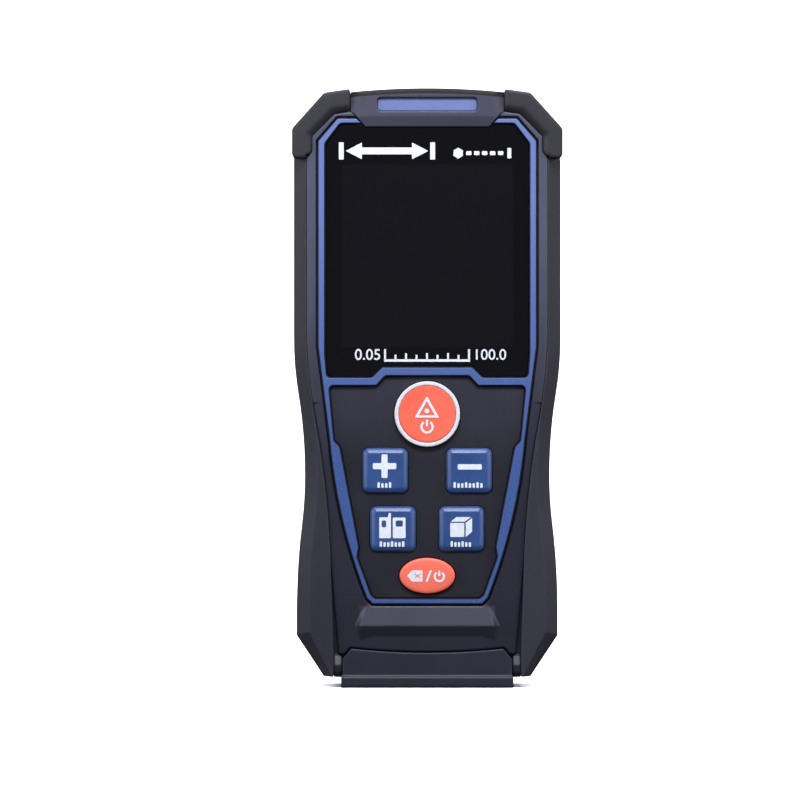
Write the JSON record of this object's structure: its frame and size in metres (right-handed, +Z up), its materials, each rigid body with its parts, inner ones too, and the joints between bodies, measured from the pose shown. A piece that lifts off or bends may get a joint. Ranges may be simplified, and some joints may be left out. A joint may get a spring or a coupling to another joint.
{
  "type": "laser distance meter",
  "caption": "Upright handheld laser distance meter with soft side grips, corner bumpers, black display, key panel and a flip-out end bracket.",
  "frame": {"origin": "centre of the box at its base, on the flat foot of the end bracket", "axes": "+Z up along the case, the way the laser fires; the display and keys face -Y; +X to the right seen from the front"},
  "size_m": [0.0552, 0.03, 0.122],
  "materials": {
    "case_plastic": "moulded ABS with a fine spark-eroded grain, matt blue-black",
    "grip_rubber": "soft overmoulded elastomer, matt charcoal",
    "bumper_rubber": "soft overmoulded elastomer, matt charcoal",
    "brow_plastic": "satin moulded plastic, purple-grey",
    "trim_blue": "satin blue moulded plastic",
    "inlay_blue": "satin light blue moulded plastic",
    "window_black": "polished black acrylic",
    "panel_plastic": "matt black film with a fine texture",
    "key_blue": "satin blue key caps with white marks",
    "key_orange": "satin orange key caps with white marks",
    "key_white": "white moulded ring",
    "bracket_plastic": "glass-filled nylon, matt",
    "cap_plastic": "matt moulded plastic",
    "lens_glass": "coated optical glass",
    "black_optics": "matt black moulded optics carrier",
    "brass": "turned brass",
    "steel": "drawn or stamped steel",
    "silicone": "grey silicone",
    "board": "glass-epoxy board with green resist",
    "lcd": "liquid crystal cell",
    "flex": "polyimide ribbon",
    "battery": "plain wrapped cell",
    "label": "blank grey rating plate"
  },
  "bodies": {
    "housing": {"front_shell": "case_plastic", "rear_shell": "case_plastic", "left_grip": "grip_rubber", "right_grip": "grip_rubber", "left_bumper": "bumper_rubber", "right_bumper": "bumper_rubber", "top_brow": "brow_plastic", "brow_inlay": "inlay_blue", "trim_frame": "trim_blue", "display_window": "window_black", "keypad_panel": "panel_plastic", "top_cap": "cap_plastic", "keypad_mat": "silicone", "snap_domes": "steel", "bracket_hinge_pin": "steel", "battery_1": "battery", "battery_2": "battery", "battery_springs": "steel", "battery_contacts": "steel", "main_board": "board", "beeper": "black_optics", "lcd_module": "lcd", "lcd_holder": "black_optics", "display_flex": "flex", "optics_block": "black_optics", "receiver_lens": "lens_glass", "lens_ring": "black_optics", "emitter_window": "lens_glass", "laser_module": "brass", "collimator_lens": "lens_glass", "receiver_sensor": "steel", "shell_gasket": "silicone", "tripod_insert": "brass", "housing_screws": "steel", "board_screws": "steel", "rear_label": "label"},
    "add_key_body": {"add_key": "key_blue"},
    "subtract_key_body": {"subtract_key": "key_blue"},
    "section_key_body": {"section_key": "key_blue"},
    "units_key_body": {"units_key": "key_blue"},
    "on_key_body": {"on_key": "key_orange", "on_key_ring": "key_white"},
    "clear_key_body": {"clear_key": "key_orange"},
    "bracket": {"end_bracket": "bracket_plastic"},
    "battery_door": {"battery_cover": "case_plastic"}
  },
  "joints": [
    {"name": "add_key_press", "type": "slide", "parent": "housing", "child": "add_key_body", "axis": [0, 1, 0], "range_m": [0, 0.0006], "stiffness_N_per_m": 1000},
    {"name": "subtract_key_press", "type": "slide", "parent": "housing", "child": "subtract_key_body", "axis": [0, 1, 0], "range_m": [0, 0.0006], "stiffness_N_per_m": 1000},
    {"name": "section_key_press", "type": "slide", "parent": "housing", "child": "section_key_body", "axis": [0, 1, 0], "range_m": [0, 0.0006], "stiffness_N_per_m": 1000},
    {"name": "units_key_press", "type": "slide", "parent": "housing", "child": "units_key_body", "axis": [0, 1, 0], "range_m": [0, 0.0006], "stiffness_N_per_m": 1000},
    {"name": "on_key_press", "type": "slide", "parent": "housing", "child": "on_key_body", "axis": [0, 1, 0], "range_m": [0, 0.0006], "stiffness_N_per_m": 1000},
    {"name": "clear_key_press", "type": "slide", "parent": "housing", "child": "clear_key_body", "axis": [0, 1, 0], "range_m": [0, 0.0006], "stiffness_N_per_m": 1000},
    {"name": "bracket_fold", "type": "hinge", "parent": "housing", "child": "bracket", "pos_m": [0, 0.0096, 0.0042], "axis": [1, 0, 0], "range_deg": [0, 180]},
    {"name": "battery_door_lift", "type": "slide", "parent": "housing", "child": "battery_door", "axis": [0, 1, 0], "range_m": [0, 0.03]}
  ]
}
